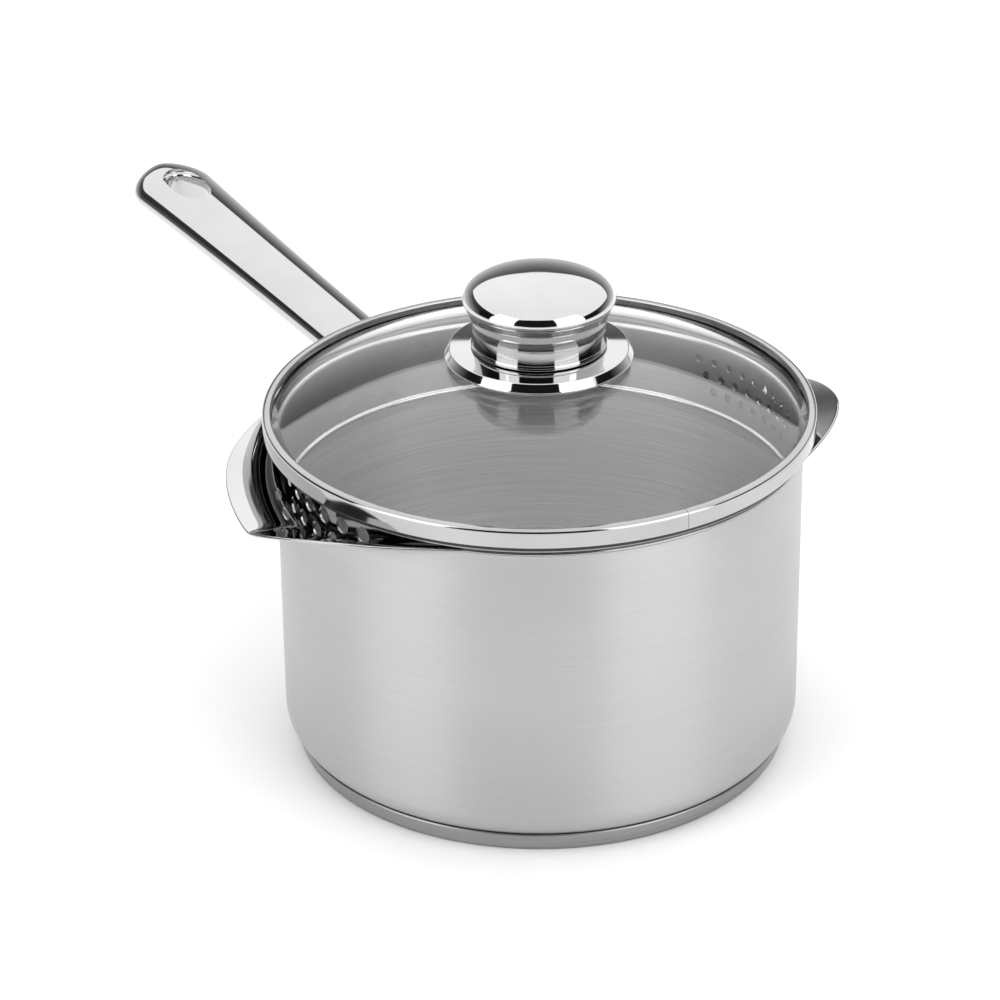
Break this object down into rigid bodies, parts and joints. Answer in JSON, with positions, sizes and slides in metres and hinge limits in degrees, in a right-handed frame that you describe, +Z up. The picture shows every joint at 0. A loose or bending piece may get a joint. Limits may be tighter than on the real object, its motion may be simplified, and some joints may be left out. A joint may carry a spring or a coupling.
{
  "type": "saucepan with glass lid",
  "caption": "Stainless saucepan with two pouring spouts, a long handle with a hanging hole, and a glass lid with a straining skirt and round knob.",
  "frame": {"origin": "centre of the base's underside, which is the face the pan stands on", "axes": "+Z up along the pan's axis, the handle points along -X, the spouts point along -Y and +Y"},
  "size_m": [0.384, 0.2247, 0.1758],
  "materials": {
    "brushed_steel": "fine horizontal brushing outside and inside",
    "satin_steel": "satin",
    "polished_steel": "mirror polish",
    "aluminium": "as pressed",
    "glass": "clear tempered glass with a faint grey tint",
    "silicone": "matt",
    "phenolic": "matt",
    "brass": "machined"
  },
  "bodies": {
    "pan": {"pan_body": "brushed_steel", "base_core": "aluminium", "base_cap": "satin_steel", "handle": "polished_steel", "handle_bracket": "polished_steel"},
    "knob": {"knob_cap": "polished_steel", "knob_sleeve": "polished_steel", "knob_core": "phenolic", "knob_bush": "brass", "knob_flange": "polished_steel", "flange_seal": "silicone", "glass_bush": "silicone", "knob_washer": "satin_steel", "lock_washer": "satin_steel", "knob_screw": "satin_steel"},
    "lid": {"lid_glass": "glass", "lid_rim": "polished_steel", "rim_gasket": "silicone", "strainer_skirt": "polished_steel"}
  },
  "joints": [
    {"name": "lid_lift", "type": "slide", "parent": "pan", "child": "knob", "axis": [0, 0, 1], "range_m": [0, 0.15]},
    {"name": "lid_turn", "type": "hinge", "parent": "knob", "child": "lid", "pos_m": [0, 0, 0.13], "axis": [0, 0, 1], "continuous": true}
  ]
}
